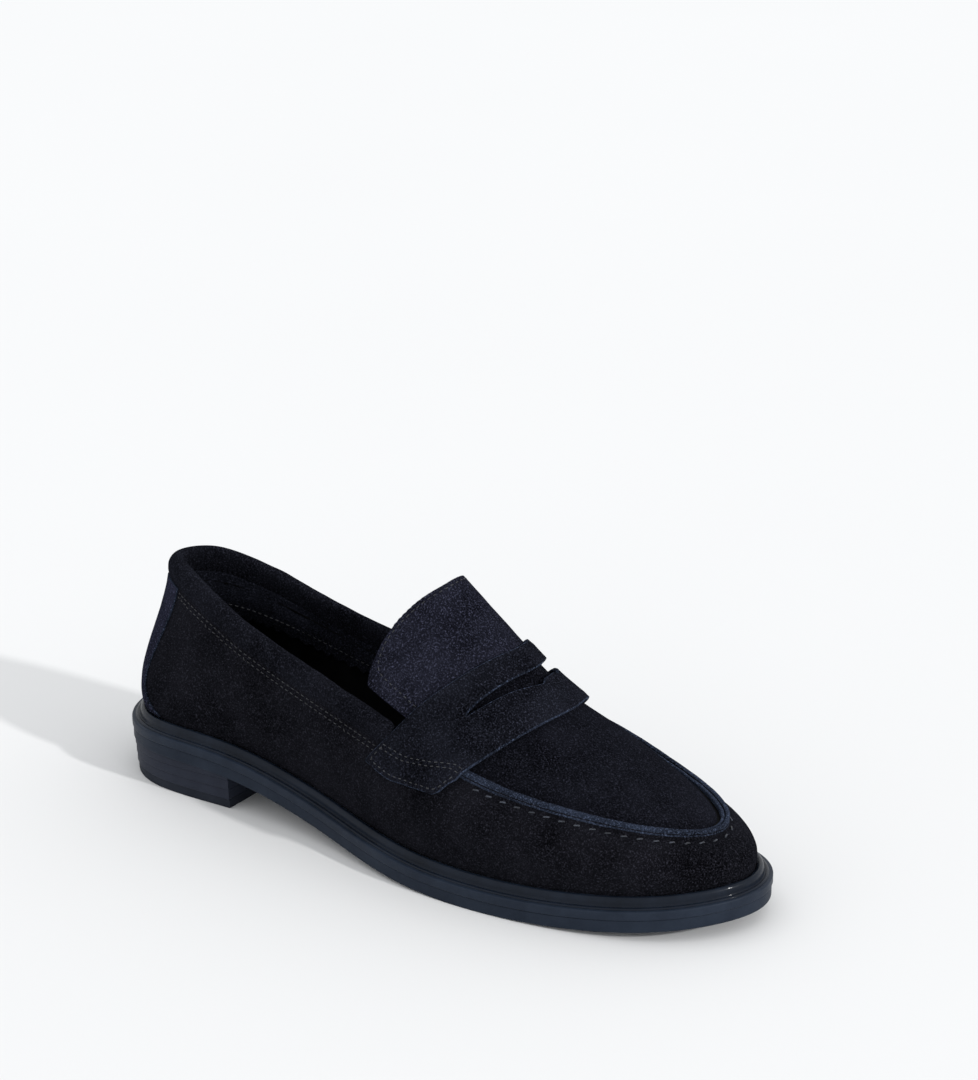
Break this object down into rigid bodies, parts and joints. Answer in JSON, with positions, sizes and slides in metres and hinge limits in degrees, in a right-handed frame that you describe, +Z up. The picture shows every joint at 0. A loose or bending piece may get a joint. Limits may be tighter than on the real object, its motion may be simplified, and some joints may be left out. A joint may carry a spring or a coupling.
{
  "type": "penny loafer",
  "caption": "Right-foot suede penny loafer with a slotted saddle strap, raised apron seam, padded collar, storm welt and low stacked heel.",
  "frame": {"origin": "on the ground under the middle of the shoe's bounding box", "axes": "+X from heel to toe, +Y to the medial (inner) side of the right foot, +Z up"},
  "size_m": [0.291, 0.096, 0.1065],
  "materials": {
    "suede_wall": "dark navy suede with a short matt nap",
    "suede_trim": "navy suede, worn a little lighter on its edges",
    "suede_apron": "dark navy suede with a short matt nap",
    "suede_strap": "navy suede with lighter cut edges",
    "suede_tongue": "navy suede, nap brushed up",
    "lining_leather": "smooth dark lining leather",
    "thread": "waxed blue-grey polyester thread",
    "stiffener": "resin-stiffened board",
    "foam": "soft open-cell foam",
    "cork": "pressed cork filler",
    "insole_board": "cellulose insole board",
    "steel": "bare spring steel",
    "bead_rubber": "polished dark navy rubber",
    "welt_rubber": "matt dark navy rubber",
    "sole_rubber": "matt dark navy rubber",
    "heel_rubber": "matt blue-black stacked heel layers",
    "top_piece_rubber": "hard-wearing dark rubber"
  },
  "bodies": {
    "shoe": {"upper_wall": "suede_wall", "backstay": "suede_trim", "collar": "suede_trim", "apron": "suede_apron", "saddle_strap": "suede_strap", "wall_lining": "lining_leather", "apron_lining": "lining_leather", "sock_liner": "lining_leather", "inner_facing": "lining_leather", "apron_thread": "thread", "collar_thread": "thread", "strap_thread": "thread", "heel_counter": "stiffener", "toe_puff": "stiffener", "collar_foam": "foam", "heel_pad": "foam", "bottom_filler": "cork", "insole_board": "insole_board", "steel_shank": "steel", "storm_welt": "bead_rubber", "welt_layer": "welt_rubber", "outsole": "sole_rubber", "heel_wedge": "heel_rubber", "heel_lift_upper": "heel_rubber", "heel_lift_lower": "heel_rubber", "heel_top_piece": "top_piece_rubber"},
    "tongue": {"tongue": "suede_tongue", "tongue_lining": "lining_leather", "tongue_thread": "thread"}
  },
  "joints": [
    {"name": "tongue_lift", "type": "hinge", "parent": "shoe", "child": "tongue", "pos_m": [0.03194, 0.00891, 0.08366], "axis": [0, 1, 0], "range_deg": [0, 25], "stiffness_Nm_per_rad": 0.2}
  ]
}
